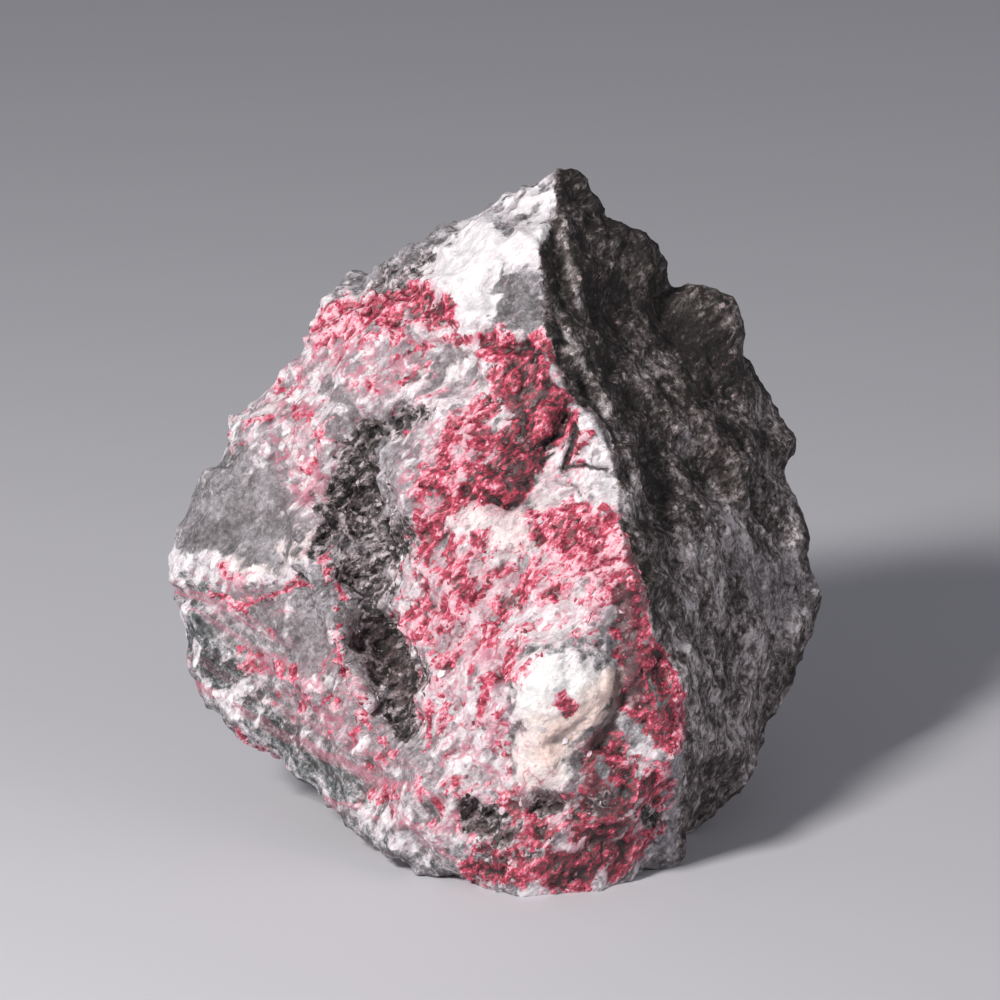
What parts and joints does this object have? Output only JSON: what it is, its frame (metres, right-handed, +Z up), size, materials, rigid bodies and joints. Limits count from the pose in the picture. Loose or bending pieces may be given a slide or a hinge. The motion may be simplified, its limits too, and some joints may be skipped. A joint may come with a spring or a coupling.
{
  "type": "rough cinnabar specimen",
  "caption": "Hand-sized lump of rough cinnabar ore: a thick pale crust full of red crystals, a granular dark trench across it, and a sharp crest beside a dark hackly break.",
  "frame": {"origin": "the centre of the bounding box in X and Y, on the flat break that the lump rests on (z = 0)", "axes": "+Z up; +Y runs from the crusted front to the back, the shortest extent; +X is to the right of someone facing the crusted front"},
  "size_m": [0.101, 0.0888, 0.0988],
  "materials": {
    "carbonate_rock": "matte broken carbonate rock, dark grey with pale grains, under a rough pink-white crust of calcite and crimson cinnabar grains"
  },
  "bodies": {
    "root": {"cinnabar_rock": "carbonate_rock"}
  },
  "joints": []
}
